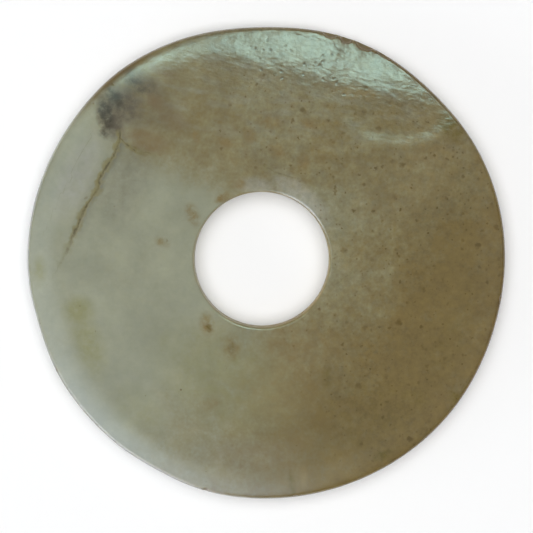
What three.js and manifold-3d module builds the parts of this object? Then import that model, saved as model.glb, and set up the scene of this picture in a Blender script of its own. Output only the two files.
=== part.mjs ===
// A jade bi disc: a flat, hand-ground ring of nephrite with a large hole drilled from both faces.
//
// It is one stone, so it is one solid. It lies flat on its plain back, with the worked face up (+Z).
// The origin is at the middle of its box, on the surface it lies on. Lengths are in millimetres,
// directions in degrees counterclockwise from +X, seen from above the face.

import * as THREE from 'three';
import { mergeVertices } from 'three/addons/utils/BufferGeometryUtils.js';
import Module from 'manifold-3d';

// The stone
const DISC_DIAMETER = 171;
const THICKNESS = 8.5;

// The hole: two tapered drillings, one from each face, that meet at a waist halfway through the stone
const HOLE_DIAMETER = 47.9;
const WAIST_HEIGHT = THICKNESS / 2;
const FRONT_TAPER = 0.5;
const BACK_TAPER = 0.7;
const FRONT_LIP = 1.1;
const BACK_LIP = 0.8;
const HOLE_OFFSET = { direction: 138, distance: 2.3 };
const BACK_DRILL_SHIFT = { direction: 20, distance: 0.4 };

// The rim: a rounded band, wider where its upper edge was struck and worn away
const RIM_ROUND_IN = 1.3;
const RIM_ROUND_DOWN = 2.2;
const FOOT_ROUND_IN = 1.2;
const FOOT_ROUND_UP = 1.5;
const ROLL_OFF_WIDTH = 11;
const ROLL_OFF_DEPTH = 0.9;

// Flats and swellings that hand grinding left in the outline
const GRINDING = [
  { direction: 46, depth: 0.9, spread: 15 },
  { direction: 91, depth: 1.7, spread: 18 },
  { direction: 129, depth: -0.5, spread: 11 },
  { direction: 196, depth: 0.9, spread: 10 },
  { direction: 223, depth: 0.8, spread: 18 },
  { direction: 242, depth: 0.7, spread: 9 },
  { direction: 282, depth: 0.4, spread: 30 },
  { direction: 344, depth: 0.6, spread: 18 },
];

// The slope that the saw left when the slab was cut, and the shallow hollow below it
const SAW_SLOPE = { direction: 75, reach: 17.5, fall: 6.5, softness: 3 };
const SAW_HOLLOW = { direction: 58, beyondRim: 1.3, radius: 31, depth: 0.25, softness: 4 };

// Flakes struck off the rim: length runs along it, width inwards, depth down the side
const RIM_FLAKES = [
  { direction: 74.5, length: 5.2, width: 1.7, depth: 2.6 },
  { direction: 70.5, length: 4.6, width: 2.0, depth: 2.9 },
  { direction: 65.8, length: 6.4, width: 1.9, depth: 2.4 },
  { direction: 60.5, length: 6.0, width: 1.2, depth: 2.0 },
  { direction: 207, length: 2.6, width: 1.0, depth: 1.6 },
  { direction: 255, length: 3.0, width: 1.3, depth: 2.2 },
  { direction: 277, length: 2.4, width: 1.1, depth: 1.8 },
  { direction: 351.6, length: 2.4, width: 0.9, depth: 1.8 },
];

// How finely the form is faceted
const COLUMNS = 120;
const FACE_STEPS = 9;
const ROLL_OFF_STEPS = 4;
const BACK_STEPS = 3;
const ROUND_STEPS = 4;
const LIP_STEPS = 3;
const FLAKE_SEGMENTS = 12;

const RIM_RADIUS = DISC_DIAMETER / 2;
const HOLE_RADIUS = HOLE_DIAMETER / 2;

const vectorTowards = ({ direction, distance }) =>
  new THREE.Vector2(distance, 0).rotateAround(new THREE.Vector2(), THREE.MathUtils.degToRad(direction));

const HOLE_CENTRE = vectorTowards(HOLE_OFFSET);
const BACK_SHIFT = vectorTowards(BACK_DRILL_SHIFT);

/** Signed difference between two directions, from -180 to 180 degrees. */
const turnBetween = (from, to) => THREE.MathUtils.euclideanModulo(to - from + 180, 360) - 180;

/** A ramp that is 0 below 0 and rises by 1 per unit above it, rounded over the softness. */
const softRamp = (value, softness) => (value + Math.hypot(value, softness)) / 2;

/** The radius of the rim in a direction, with its flats and swellings. */
function outlineRadius(direction) {
  let radius = RIM_RADIUS;
  for (const { direction: middle, depth, spread } of GRINDING) {
    radius -= depth * Math.exp(-((turnBetween(middle, direction) / spread) ** 2));
  }
  return radius;
}

/** How far the face lies under the full thickness at a place, its distance from the rim given. */
function faceDrop(place, fromRim) {
  const towardsSlope = vectorTowards({ direction: SAW_SLOPE.direction, distance: 1 });
  const pastEdge = place.dot(towardsSlope) - (RIM_RADIUS - SAW_SLOPE.reach);
  const slope = Math.tan(THREE.MathUtils.degToRad(SAW_SLOPE.fall)) * softRamp(pastEdge, SAW_SLOPE.softness);

  const middle = vectorTowards({ direction: SAW_HOLLOW.direction, distance: RIM_RADIUS + SAW_HOLLOW.beyondRim });
  const inside = SAW_HOLLOW.radius - place.distanceTo(middle);
  const hollow = SAW_HOLLOW.depth * THREE.MathUtils.smoothstep(inside, 0, SAW_HOLLOW.softness);

  const worn = Math.max(0, 1 - fromRim / ROLL_OFF_WIDTH);
  return slope + hollow + ROLL_OFF_DEPTH * worn ** 2;
}

/** Points of a quarter round from one point to another, which leaves the first one along Z if it rises. */
function quarterRound(from, to, steps, startsUpright) {
  const points = [];
  for (let step = 1; step <= steps; step += 1) {
    const turn = (step / steps) * (Math.PI / 2);
    const across = startsUpright ? 1 - Math.cos(turn) : Math.sin(turn);
    const along = startsUpright ? Math.sin(turn) : 1 - Math.cos(turn);
    points.push(new THREE.Vector2(from.x + (to.x - from.x) * across, from.y + (to.y - from.y) * along));
  }
  return points;
}

/** Evenly spaced points of a straight stretch, without its first point. */
function straightRun(from, to, steps) {
  return Array.from({ length: steps }, (_, step) => from.clone().lerp(to, (step + 1) / steps));
}

/** The ring's section as a closed outline, x outwards from the axis and y up from the back. */
function sectionOutline() {
  const waist = new THREE.Vector2(HOLE_RADIUS, WAIST_HEIGHT);
  const backMouth = new THREE.Vector2(HOLE_RADIUS + BACK_TAPER, BACK_LIP);
  const backLip = new THREE.Vector2(backMouth.x + BACK_LIP, 0);
  const foot = new THREE.Vector2(RIM_RADIUS - FOOT_ROUND_IN, 0);
  const wallFoot = new THREE.Vector2(RIM_RADIUS, FOOT_ROUND_UP);
  const wallTop = new THREE.Vector2(RIM_RADIUS, THICKNESS - RIM_ROUND_DOWN);
  const rimTop = new THREE.Vector2(RIM_RADIUS - RIM_ROUND_IN, THICKNESS);
  const rollOff = new THREE.Vector2(RIM_RADIUS - ROLL_OFF_WIDTH, THICKNESS);
  const frontMouth = new THREE.Vector2(HOLE_RADIUS + FRONT_TAPER, THICKNESS - FRONT_LIP);
  const frontLip = new THREE.Vector2(frontMouth.x + FRONT_LIP, THICKNESS);
  return [
    waist,
    ...straightRun(waist, backMouth, 1),
    ...quarterRound(backMouth, backLip, LIP_STEPS, true),
    ...straightRun(backLip, foot, BACK_STEPS),
    ...quarterRound(foot, wallFoot, LIP_STEPS, false),
    ...straightRun(wallFoot, wallTop, 1),
    ...quarterRound(wallTop, rimTop, ROUND_STEPS, true),
    ...straightRun(rimTop, rollOff, ROLL_OFF_STEPS),
    ...straightRun(rollOff, frontLip, FACE_STEPS),
    ...quarterRound(frontLip, frontMouth, LIP_STEPS, false),
    ...straightRun(frontMouth, waist, 1),
  ];
}

/** Moves a point of the true round ring to where the hand-made stone has it. */
function workByHand(point) {
  const direction = THREE.MathUtils.radToDeg(Math.atan2(point.y, point.x));
  const radius = Math.hypot(point.x, point.y);
  const outwards = THREE.MathUtils.clamp((radius - HOLE_RADIUS) / (RIM_RADIUS - HOLE_RADIUS), 0, 1);
  const outline = outlineRadius(direction);
  const towardsBack = Math.max(0, 1 - point.z / WAIST_HEIGHT);

  const place = new THREE.Vector2(point.x, point.y);
  place.setLength(radius + (outline - RIM_RADIUS) * outwards);
  place.addScaledVector(HOLE_CENTRE, 1 - outwards);
  place.addScaledVector(BACK_SHIFT, (1 - outwards) * towardsBack);

  const fromRim = Math.max(0, outline - place.length());
  const height = point.z * (1 - faceDrop(place, fromRim) / THICKNESS);
  point.set(place.x, place.y, height);
}

/** The ground and drilled ring, before any flake came off it. */
function ringGeometry() {
  const ring = new THREE.LatheGeometry(sectionOutline(), COLUMNS);
  ring.rotateX(Math.PI / 2);
  const positions = ring.getAttribute('position');
  const point = new THREE.Vector3();
  for (let index = 0; index < positions.count; index += 1) {
    workByHand(point.fromBufferAttribute(positions, index));
    positions.setXYZ(index, point.x, point.y, point.z);
  }
  return ring;
}

/** The shell-shaped bite of one flake, seated on the upper edge of the rim. */
function flakeGeometry({ direction, length, width, depth }) {
  const outline = outlineRadius(direction);
  const edge = vectorTowards({ direction, distance: outline });
  const top = THICKNESS - faceDrop(edge, 0);
  const flake = new THREE.SphereGeometry(1, FLAKE_SEGMENTS, FLAKE_SEGMENTS);
  flake.scale(width, length / 2, depth);
  flake.rotateZ(THREE.MathUtils.degToRad(direction));
  flake.translate(edge.x, edge.y, top);
  return flake;
}

const wasm = await Module();
wasm.setup();

/** The solid that a closed geometry bounds. */
function toSolid(geometry) {
  const bare = new THREE.BufferGeometry();
  bare.setAttribute('position', geometry.getAttribute('position'));
  bare.setIndex(geometry.getIndex());
  const merged = mergeVertices(bare, 1e-4);
  return new wasm.Manifold(new wasm.Mesh({
    numProp: 3,
    vertProperties: new Float32Array(merged.getAttribute('position').array),
    triVerts: new Uint32Array(merged.getIndex().array),
  }));
}

/** The faceted geometry of a solid. */
function toGeometry(solid) {
  const mesh = solid.getMesh();
  const geometry = new THREE.BufferGeometry();
  geometry.setAttribute('position', new THREE.BufferAttribute(new Float32Array(mesh.vertProperties), 3));
  geometry.setIndex(new THREE.BufferAttribute(new Uint32Array(mesh.triVerts), 1));
  return geometry;
}

/** Sets a geometry down with the middle of its box on the vertical through the origin. */
function centreOnBox(geometry) {
  geometry.computeBoundingBox();
  const middle = geometry.boundingBox.getCenter(new THREE.Vector3());
  geometry.translate(-middle.x, -middle.y, 0);
  return geometry;
}

let stone = toSolid(ringGeometry());
for (const flake of RIM_FLAKES) {
  stone = stone.subtract(toSolid(flakeGeometry(flake)));
}

const nephrite = new THREE.MeshStandardMaterial({ color: 0x8e8a68, roughness: 0.3, metalness: 0 });

const disc = new THREE.Mesh(centreOnBox(toGeometry(stone)), nephrite);
disc.name = 'bi_disc';

const biDisc = new THREE.Group();
biDisc.add(disc);

export default biDisc;
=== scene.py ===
"""A jade bi disc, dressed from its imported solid.

The stone is one flat, hand-ground ring of nephrite: pale celadon on one side, russet on the other, with a
grey smoky corner, an old fissure, a slope and a hollow left by the saw, and small flakes off its rim.

Inside the classes lengths are in millimetres from the middle that the rim was ground round, with the worked
face up, and directions in degrees counterclockwise from +X. They turn into metres in the row's frame when
the mesh is made.
"""

from __future__ import annotations

import logging
import math
from collections.abc import Mapping, Sequence
from dataclasses import dataclass, field
from enum import Enum

import bmesh
import bpy
import numpy as np
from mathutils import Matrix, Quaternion, Vector, noise

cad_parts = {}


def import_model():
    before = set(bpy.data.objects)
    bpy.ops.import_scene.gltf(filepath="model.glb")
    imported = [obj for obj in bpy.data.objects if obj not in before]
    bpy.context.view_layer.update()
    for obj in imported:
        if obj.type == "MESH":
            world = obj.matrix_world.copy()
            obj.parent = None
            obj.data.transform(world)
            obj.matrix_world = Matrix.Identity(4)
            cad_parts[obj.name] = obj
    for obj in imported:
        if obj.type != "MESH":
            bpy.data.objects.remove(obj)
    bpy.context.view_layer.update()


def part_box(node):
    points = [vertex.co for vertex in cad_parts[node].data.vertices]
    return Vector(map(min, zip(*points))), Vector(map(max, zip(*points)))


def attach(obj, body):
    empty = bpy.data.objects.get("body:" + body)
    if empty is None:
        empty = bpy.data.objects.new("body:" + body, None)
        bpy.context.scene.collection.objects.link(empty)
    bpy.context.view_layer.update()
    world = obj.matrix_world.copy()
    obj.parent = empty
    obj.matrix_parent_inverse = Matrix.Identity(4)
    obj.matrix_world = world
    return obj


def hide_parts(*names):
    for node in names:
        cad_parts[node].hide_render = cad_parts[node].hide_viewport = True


Array = np.ndarray
Colour = tuple[float, float, float]
Inputs = Mapping[str | int, object]

MM = 0.001
NODE = "bi_disc"
BODY = "root"

log = logging.getLogger("bi_disc")


def towards(direction: float, distance: float = 1.0) -> Array:
    """The place at a distance in a direction."""
    angle = math.radians(direction)
    return distance * np.array((math.cos(angle), math.sin(angle)))


def turn_between(middle: float, directions: Array) -> Array:
    """Signed turns from a middle direction to others, from -180 to 180 degrees."""
    return (directions - middle + 180) % 360 - 180


def directions_of(offsets: Array) -> Array:
    """The direction in which each offset points, seen from above."""
    return np.degrees(np.arctan2(offsets[:, 1], offsets[:, 0]))


def soft_ramp(value: Array, softness: float) -> Array:
    """A ramp that is 0 below 0 and rises by 1 per unit above it, rounded over the softness."""
    return (value + np.hypot(value, softness)) / 2


def smooth_step(value: Array, start: float, end: float) -> Array:
    """0 at the start and 1 at the end, with an eased passage between them."""
    share = np.clip((value - start) / (end - start), 0, 1)
    return share * share * (3 - 2 * share)


def bell(value: Array, spread: float) -> Array:
    """1 at 0, falling off to both sides over the spread."""
    return np.exp(-((value / spread) ** 2))


def grain(places: Array, size: Sequence[float], seed: float) -> Array:
    """Smooth natural variation over places.

    Args:
        places: Points, one row each.
        size: Length of one swelling along each axis.
        seed: Shift that makes one pattern differ from another.

    Returns:
        One value from about -1 to 1 for each point.
    """
    scaled = places / np.array(size) + seed
    return np.array([noise.noise(Vector(place)) for place in scaled])


class Graph:
    """A node tree under construction."""

    def __init__(self, tree: bpy.types.NodeTree) -> None:
        """Starts from a tree, with or without nodes in it."""
        self.tree = tree

    def add(self, kind: str, inputs: Inputs | None = None, **settings: object) -> bpy.types.Node:
        """Adds one node.

        Args:
            kind: The node's type name.
            inputs: What feeds each input: a node, a socket or a plain value.
            **settings: The node's own properties.

        Returns:
            The new node.
        """
        node = self.tree.nodes.new(kind)
        for name, value in settings.items():
            setattr(node, name, value)
        for name, value in (inputs or {}).items():
            self.feed(node.inputs[name], value)
        return node

    def feed(self, socket: bpy.types.NodeSocket, value: object) -> None:
        """Joins a node or socket to an input, or sets the input's plain value.

        Args:
            socket: The input.
            value: A node, a socket or a plain value.
        """
        if isinstance(value, bpy.types.Node):
            value = value.outputs[0]
        if isinstance(value, bpy.types.NodeSocket):
            self.tree.links.new(value, socket)
        else:
            socket.default_value = value

    def math(self, operation: str, *values: object, clamp: bool = False) -> bpy.types.NodeSocket:
        """The result of one sum on numbers or sockets."""
        inputs = dict(enumerate(values))
        return self.add("ShaderNodeMath", inputs, operation=operation, use_clamp=clamp).outputs[0]

    def vector(self, operation: str, *values: object) -> bpy.types.NodeSocket:
        """The result of one sum on vectors, or on a vector's length or product."""
        node = self.add("ShaderNodeVectorMath", dict(enumerate(values)), operation=operation)
        return node.outputs["Value" if operation in ("LENGTH", "DOT_PRODUCT", "DISTANCE") else "Vector"]

    def span(self, value: object, low: float, high: float, to_low: object = 0.0, to_high: object = 1.0,
             eased: bool = True) -> bpy.types.NodeSocket:
        """A value's way from low to high, laid over another range and held at both ends.

        Args:
            value: What is read.
            low: Reading that gives to_low.
            high: Reading that gives to_high.
            to_low: Result at low.
            to_high: Result at high.
            eased: Whether the passage is smoothed at its ends.

        Returns:
            The result's socket.
        """
        inputs = {"Value": value, "From Min": low, "From Max": high, "To Min": to_low, "To Max": to_high}
        way = "SMOOTHSTEP" if eased else "LINEAR"
        return self.add("ShaderNodeMapRange", inputs, interpolation_type=way).outputs["Result"]

    def noise(self, place: object, size: float, detail: float = 2.0,
              roughness: float = 0.5) -> bpy.types.Node:
        """A noise texture whose swellings measure about the size, in the unit of the place."""
        inputs = {"Vector": place, "Scale": 1 / size, "Detail": detail, "Roughness": roughness}
        return self.add("ShaderNodeTexNoise", inputs)

    def blend(self, share: object, first: object, second: object,
              mode: str = "MIX") -> bpy.types.NodeSocket:
        """Two colours mixed, with the second one's share given.

        Args:
            share: The second colour's share.
            first: The first colour, as a socket or as linear red, green and blue.
            second: The second colour, likewise.
            mode: How the two are laid over each other.

        Returns:
            The mixed colour's socket.
        """
        node = self.add("ShaderNodeMix", data_type="RGBA", blend_type=mode)
        self.feed(node.inputs["Factor"], share)
        for name, value in (("A", first), ("B", second)):
            socket = next(s for s in node.inputs if s.name == name and s.type == "RGBA")
            self.feed(socket, (*value, 1.0) if isinstance(value, tuple) else value)
        return next(s for s in node.outputs if s.type == "RGBA")

    def dressed(self, geometry: object, material: object) -> bpy.types.Node:
        """A geometry made real and given its material, as every geometry tree ends."""
        realized = self.add("GeometryNodeRealizeInstances", {"Geometry": geometry})
        return self.add("GeometryNodeSetMaterial", {"Geometry": realized, "Material": material})

    def mark(self, name: str) -> bpy.types.NodeSocket:
        """What the mesh says under a mark's name."""
        return self.add("ShaderNodeAttribute", attribute_name=name).outputs["Fac"]

    def turned(self, place: object, turn: float, size: Sequence[float]) -> bpy.types.Node:
        """A place turned about the height by some degrees and measured in a size along each axis.

        Args:
            place: The place's socket.
            turn: How far it turns.
            size: What counts as 1 along each axis.

        Returns:
            The node whose first output is the turned place.
        """
        node = self.add("ShaderNodeMapping", {"Vector": place}, vector_type="TEXTURE")
        node.inputs["Rotation"].default_value = (0.0, 0.0, math.radians(turn))
        node.inputs["Scale"].default_value = size
        return node


def tree_with(kind: str, name: str, given: Mapping[str, str], made: Mapping[str, str]) -> Graph:
    """A new node tree with named inputs and outputs.

    Args:
        kind: The tree's type name.
        name: The tree's own name.
        given: Socket type of each named input.
        made: Socket type of each named output.

    Returns:
        The empty tree, ready for nodes.
    """
    tree = bpy.data.node_groups.new(name, kind)
    for sockets, side in ((given, "INPUT"), (made, "OUTPUT")):
        for socket, socket_type in sockets.items():
            tree.interface.new_socket(name=socket, in_out=side, socket_type=socket_type)
    return Graph(tree)


def grow(source: bpy.types.Mesh, graph: Graph, values: Mapping[str, object], name: str) -> bpy.types.Mesh:
    """Runs a geometry tree on a mesh and returns what it makes as a plain mesh.

    Args:
        source: The mesh that the tree starts from.
        graph: The tree.
        values: A value for each of the tree's named inputs.
        name: The new mesh's name.

    Returns:
        The evaluated mesh. Nothing else is left in the scene.
    """
    carrier = bpy.data.objects.new(name, source)
    bpy.context.scene.collection.objects.link(carrier)
    modifier = carrier.modifiers.new(name, "NODES")
    modifier.node_group = graph.tree
    for item in graph.tree.interface.items_tree:
        if item.in_out == "INPUT" and item.name in values:
            modifier[item.identifier] = values[item.name]
    bpy.context.view_layer.update()
    evaluated = carrier.evaluated_get(bpy.context.evaluated_depsgraph_get())
    grown = bpy.data.meshes.new_from_object(evaluated)
    carrier.modifiers.remove(modifier)
    bpy.data.objects.remove(carrier)
    grown.name = name
    return grown


def places_of(mesh: bpy.types.Mesh) -> Array:
    """The places of a mesh's vertices, one row each.

    Args:
        mesh: The mesh that is read.

    Returns:
        Their places, as the mesh holds them.
    """
    places = np.empty(len(mesh.vertices) * 3)
    mesh.vertices.foreach_get("co", places)
    return places.reshape(-1, 3)


@dataclass(frozen=True)
class Sector:
    """A stretch of the round: its middle direction, its spread and how strongly or deeply it shows."""

    direction: float
    spread: float
    strength: float = 1.0

    def share(self, directions: Array) -> Array:
        """How strongly the stretch shows in each direction, fading to both sides."""
        return self.strength * bell(turn_between(self.direction, directions), self.spread)


@dataclass(frozen=True)
class Flat:
    """A stretch of rim ground too far in, or, with a depth under 0, left standing proud."""

    direction: float
    depth: float
    spread: float


@dataclass(frozen=True)
class Flake:
    """A flake struck off the upper rim: its length along the rim, its width inwards and its depth down."""

    direction: float
    length: float
    width: float
    depth: float


@dataclass(frozen=True)
class DiscForm:
    """The form of the stone, as ground, sawn, drilled and chipped."""

    diameter: float = 171.0
    thickness: float = 8.5

    hole_diameter: float = 47.9
    front_taper: float = 0.22
    back_taper: float = 0.7
    front_lip: float = 1.0
    back_lip: float = 0.8
    hole_direction: float = 142.0
    hole_distance: float = 2.17
    front_drill_direction: float = 270.0
    front_drill_distance: float = 0.1
    back_drill_direction: float = 20.0
    back_drill_distance: float = 0.4

    rim_round_in: float = 1.3
    rim_round_down: float = 2.2
    foot_round_in: float = 1.2
    foot_round_up: float = 1.5
    roll_off_width: float = 11.0
    roll_off_depth: float = 0.9
    crisp: Sector = Sector(38.0, 18.0, 0.9)

    slope_direction: float = 75.0
    slope_reach: float = 17.5
    slope_fall: float = 6.5
    slope_softness: float = 3.0
    slope_end_from_to: tuple[float, float] = (18.0, 34.0)
    slope_end_share: float = 0.85

    hollow_direction: float = 58.0
    hollow_beyond_rim: float = 1.3
    hollow_radius: float = 33.0
    hollow_depth: float = 0.37
    hollow_softness: float = 7.0
    hollow_fade_from_to: tuple[float, float] = (16.0, 36.0)
    hollow_ripple: float = 2.2
    hollow_ripple_size: float = 9.0

    bevelled: Sector = Sector(120.0, 20.0, 0.3)
    bevel_width: float = 3.0

    lip_worn: Sector = Sector(52.0, 26.0, 0.22)
    lip_wear_reach: float = 3.4

    flats: tuple[Flat, ...] = (
        Flat(46, 0.9, 15),
        Flat(91, 1.7, 18),
        Flat(129, -0.5, 11),
        Flat(196, 0.9, 10),
        Flat(223, 0.8, 18),
        Flat(242, 0.7, 9),
        Flat(282, 0.4, 30),
        Flat(344, 0.6, 18),
    )
    flakes: tuple[Flake, ...] = (
        Flake(74.5, 5.2, 1.7, 2.6),
        Flake(70.5, 4.6, 2.0, 2.9),
        Flake(65.8, 6.4, 1.9, 2.4),
        Flake(60.5, 6.0, 1.2, 2.0),
        Flake(207, 2.6, 1.0, 1.6),
        Flake(255, 3.0, 1.3, 2.2),
        Flake(277, 2.4, 1.1, 1.8),
        Flake(351.6, 2.4, 0.9, 1.8),
    )

    @property
    def rim_radius(self) -> float:
        """The radius of the rim before its flats."""
        return self.diameter / 2

    @property
    def hole_radius(self) -> float:
        """The radius of the hole at its waist."""
        return self.hole_diameter / 2

    @property
    def waist_height(self) -> float:
        """The height at which the two drillings meet."""
        return self.thickness / 2

    def outline(self, directions: Array) -> Array:
        """The rim's radius in each direction, with its flats.

        Args:
            directions: Where the radius is wanted.

        Returns:
            One radius for each direction.
        """
        radius = np.full_like(directions, self.rim_radius, dtype=float)
        for flat in self.flats:
            radius -= flat.depth * bell(turn_between(flat.direction, directions), flat.spread)
        return radius

    def from_rim(self, places: Array) -> Array:
        """How far each place lies inside the outline, seen from above."""
        directions = directions_of(places)
        return self.outline(directions) - np.hypot(places[:, 0], places[:, 1])

    def past_slope_edge(self, places: Array) -> Array:
        """How far each place lies beyond the line at which the saw slope starts."""
        return places[:, :2] @ towards(self.slope_direction) - (self.rim_radius - self.slope_reach)

    def inside_hollow(self, places: Array) -> Array:
        """How far each place lies inside the edge of the saw hollow.

        Args:
            places: Points of the stone, one row each.

        Returns:
            One distance each, under 0 outside it.
        """
        middle = towards(self.hollow_direction, self.rim_radius + self.hollow_beyond_rim)
        inside = self.hollow_radius - np.hypot(*(places[:, :2] - middle).T)
        return inside + self.hollow_ripple * grain(places * (1, 1, 0), (self.hollow_ripple_size,) * 3, 41.7)

    def lip_wear(self, places: Array) -> Array:
        """How far the lip of the hole is worn down at each place, most where a cord rubbed it.

        Args:
            places: Points of the stone, one row each.

        Returns:
            One depth each.
        """
        offset = places[:, :2] - towards(self.hole_direction, self.hole_distance)
        directions = directions_of(offset)
        from_lip = np.hypot(*offset.T) - self.hole_radius - self.front_taper
        return self.lip_worn.share(directions) * np.clip(1 - from_lip / self.lip_wear_reach, 0, 1) ** 2

    def roll_off(self, places: Array) -> Array:
        """How far the edge is worn down at each place, least where it stayed crisp.

        Args:
            places: Points of the stone, one row each.

        Returns:
            One depth each.
        """
        depth = self.roll_off_depth * (1 - self.crisp.share(directions_of(places)))
        worn = np.clip(1 - np.maximum(self.from_rim(places), 0) / self.roll_off_width, 0, 1)
        return depth * worn**2

    def bevel(self, places: Array) -> Array:
        """How far the narrow bevel takes the edge down at each place."""
        inwards = np.clip(1 - self.from_rim(places) / self.bevel_width, 0, 1)
        return self.bevelled.share(directions_of(places)) * inwards**2

    def face_drop(self, places: Array) -> Array:
        """How far the face lies under the full thickness at each place.

        Args:
            places: Points of the stone, one row each.

        Returns:
            One depth each, without cracks, waves and flakes.
        """
        fall = math.tan(math.radians(self.slope_fall))
        slope = fall * soft_ramp(self.past_slope_edge(places), self.slope_softness)
        along = places[:, :2] @ towards(self.slope_direction - 90)
        slope *= 1 - self.slope_end_share * smooth_step(along, *self.slope_end_from_to)
        hollow = self.hollow_depth * smooth_step(self.inside_hollow(places), 0, self.hollow_softness)
        hollow *= smooth_step(places[:, 0], *self.hollow_fade_from_to)
        return slope + hollow + self.roll_off(places) + self.lip_wear(places) + self.bevel(places)

    def work_by_hand(self, ring: Array) -> Array:
        """Moves points of the true round ring to where the hand-made stone has them.

        Args:
            ring: Points of the true ring, one row each.

        Returns:
            The moved points.
        """
        directions = directions_of(ring)
        radius = np.hypot(ring[:, 0], ring[:, 1])
        outwards = np.clip((radius - self.hole_radius) / (self.rim_radius - self.hole_radius), 0, 1)
        towards_back = np.maximum(0, 1 - ring[:, 2] / self.waist_height)
        towards_front = np.maximum(0, ring[:, 2] / self.waist_height - 1)
        reach = 1 + (self.outline(directions) - self.rim_radius) * outwards / radius

        places = ring.copy()
        places[:, :2] *= reach[:, None]
        places[:, :2] += np.outer(1 - outwards, towards(self.hole_direction, self.hole_distance))
        back_shift = towards(self.back_drill_direction, self.back_drill_distance)
        places[:, :2] += np.outer((1 - outwards) * towards_back, back_shift)
        front_shift = towards(self.front_drill_direction, self.front_drill_distance)
        places[:, :2] += np.outer((1 - outwards) ** 4 * towards_front, front_shift)
        places[:, 2] *= 1 - self.face_drop(places) / self.thickness
        return places

    def strike(self, places: Array) -> tuple[Array, Array]:
        """Takes the flakes off: each point inside one moves inwards and down, onto its shell-shaped scar.

        Args:
            places: The stone's points before the flakes.

        Returns:
            The points after them, and how deep in a scar each one lies, from 0 to 1.
        """
        struck = places.copy()
        scarred = np.zeros(len(places))
        for flake in self.flakes:
            outline = self.outline(np.array([flake.direction]))[0]
            edge = towards(flake.direction, outline)
            top = self.thickness - self.face_drop(np.array([(*edge, self.thickness)]))[0]
            outwards = towards(flake.direction)
            along = towards(flake.direction + 90)
            offset = struck[:, :2] - edge
            unit = np.column_stack((
                offset @ outwards / flake.width,
                offset @ along / (flake.length / 2),
                (struck[:, 2] - top) / flake.depth,
            ))
            inside = (unit**2).sum(axis=1) < 1
            inwards = np.array((-1.0, 0.0, -1.0)) / math.sqrt(2)
            lean = unit[inside] @ inwards
            way = -lean + np.sqrt(lean**2 + 1 - (unit[inside] ** 2).sum(axis=1))
            scar = unit[inside] + way[:, None] * inwards
            struck[inside, :2] = edge + np.outer(scar[:, 0] * flake.width, outwards)
            struck[inside, :2] += np.outer(scar[:, 1] * flake.length / 2, along)
            struck[inside, 2] = top + scar[:, 2] * flake.depth
            scarred[inside] = np.maximum(scarred[inside], np.clip(way * 2, 0, 1))
        return struck, scarred

    def middle_of_box(self) -> Array:
        """The middle of the outline's box, which is the row's origin.

        Returns:
            Its place across and up.
        """
        directions = np.arange(0, 360, 3.0)
        ground = self.outline(directions)
        angles = np.radians(directions)
        corners = np.column_stack((ground * np.cos(angles), ground * np.sin(angles)))
        return (corners.min(axis=0) + corners.max(axis=0)) / 2


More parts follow.
